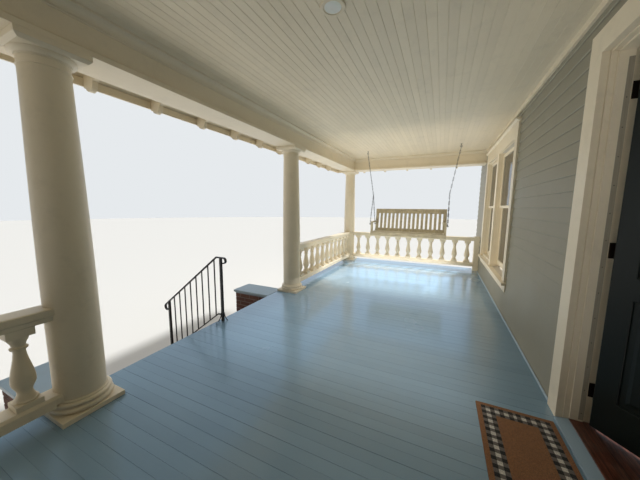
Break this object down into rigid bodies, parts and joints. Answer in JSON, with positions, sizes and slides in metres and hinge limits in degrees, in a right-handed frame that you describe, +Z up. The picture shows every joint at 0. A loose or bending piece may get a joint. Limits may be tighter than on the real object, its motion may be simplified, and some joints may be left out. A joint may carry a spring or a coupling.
{
  "type": "front porch",
  "caption": "House front porch with round columns, turned balustrade, brick steps, iron handrail, panelled door, paired sash windows and a hanging swing under a hipped roof.",
  "frame": {"origin": "on the ground under the middle of the house wall, on the centre line of the entry bay", "axes": "+X along the house wall to the right seen from the street, +Y into the house, +Z up"},
  "size_m": [10.864, 5.2681, 4.6505],
  "materials": {
    "cream_paint": "satin paint",
    "brick": "rough fired clay brick",
    "floor_paint": "gloss porch paint",
    "shingles": "mineral granules",
    "wrought_iron": "black enamel",
    "siding_paint": "satin paint",
    "window_glass": "clear",
    "door_paint": "semi-gloss paint",
    "brass": "worn satin",
    "weathered_wood": "bare weathered wood",
    "stained_wood": "satin stain",
    "coir": "coarse brushed fibre",
    "light_lens": "frosted"
  },
  "bodies": {
    "root": {"foundation_front": "brick", "foundation_ends": "brick", "foundation_house": "brick", "band_boards": "cream_paint", "floor_deck": "floor_paint", "step_masonry": "brick", "step_treads": "brick", "cheek_walls": "brick", "cheek_caps": "floor_paint", "column_plinths": "cream_paint", "column_bases": "cream_paint", "column_shafts": "cream_paint", "column_capitals": "cream_paint", "beam_front": "cream_paint", "beam_ends": "cream_paint", "beam_mouldings": "cream_paint", "ceiling": "cream_paint", "ceiling_light": "light_lens", "rafter_tails_front": "cream_paint", "rafter_tails_ends": "cream_paint", "edge_boards": "cream_paint", "roof_front": "shingles", "roof_ends": "shingles", "railing_top_rails": "cream_paint", "railing_bottom_rails": "cream_paint", "railing_wall_posts": "cream_paint", "balusters_front_left": "cream_paint", "balusters_front_right": "cream_paint", "balusters_left_end": "cream_paint", "balusters_right_end": "cream_paint", "handrail_posts": "wrought_iron", "handrail_bars": "wrought_iron", "handrail_pickets": "wrought_iron", "wall_left": "siding_paint", "wall_right": "siding_paint", "wall_over_door": "siding_paint", "window_casings": "cream_paint", "window_sills": "cream_paint", "window_frames": "cream_paint", "upper_sashes": "cream_paint", "lower_sashes": "cream_paint", "window_glass": "window_glass", "door_casing": "cream_paint", "door_frame": "cream_paint", "door_sill": "floor_paint", "door_threshold": "stained_wood", "door_hinge_pins": "brass", "swing_hooks": "wrought_iron", "door_mat": "coir"},
    "front_door": {"door_leaf": "door_paint", "door_panels": "door_paint", "door_handle": "brass", "door_hinges": "brass"},
    "porch_swing": {"swing_frame": "weathered_wood", "swing_seat": "weathered_wood", "swing_supports": "weathered_wood", "swing_back": "weathered_wood", "swing_arms": "weathered_wood", "swing_chain_house": "wrought_iron", "swing_chain_street": "wrought_iron"}
  },
  "joints": [
    {"name": "door_swing", "type": "hinge", "parent": "root", "child": "front_door", "pos_m": [0.1825, 0.085, 0.76], "axis": [0, 0, 1], "range_deg": [-39, 51]},
    {"name": "swing_sway", "type": "hinge", "parent": "root", "child": "porch_swing", "pos_m": [-3.65, -1.603, 3.458], "axis": [0, 1, 0], "range_deg": [-15, 15]}
  ]
}
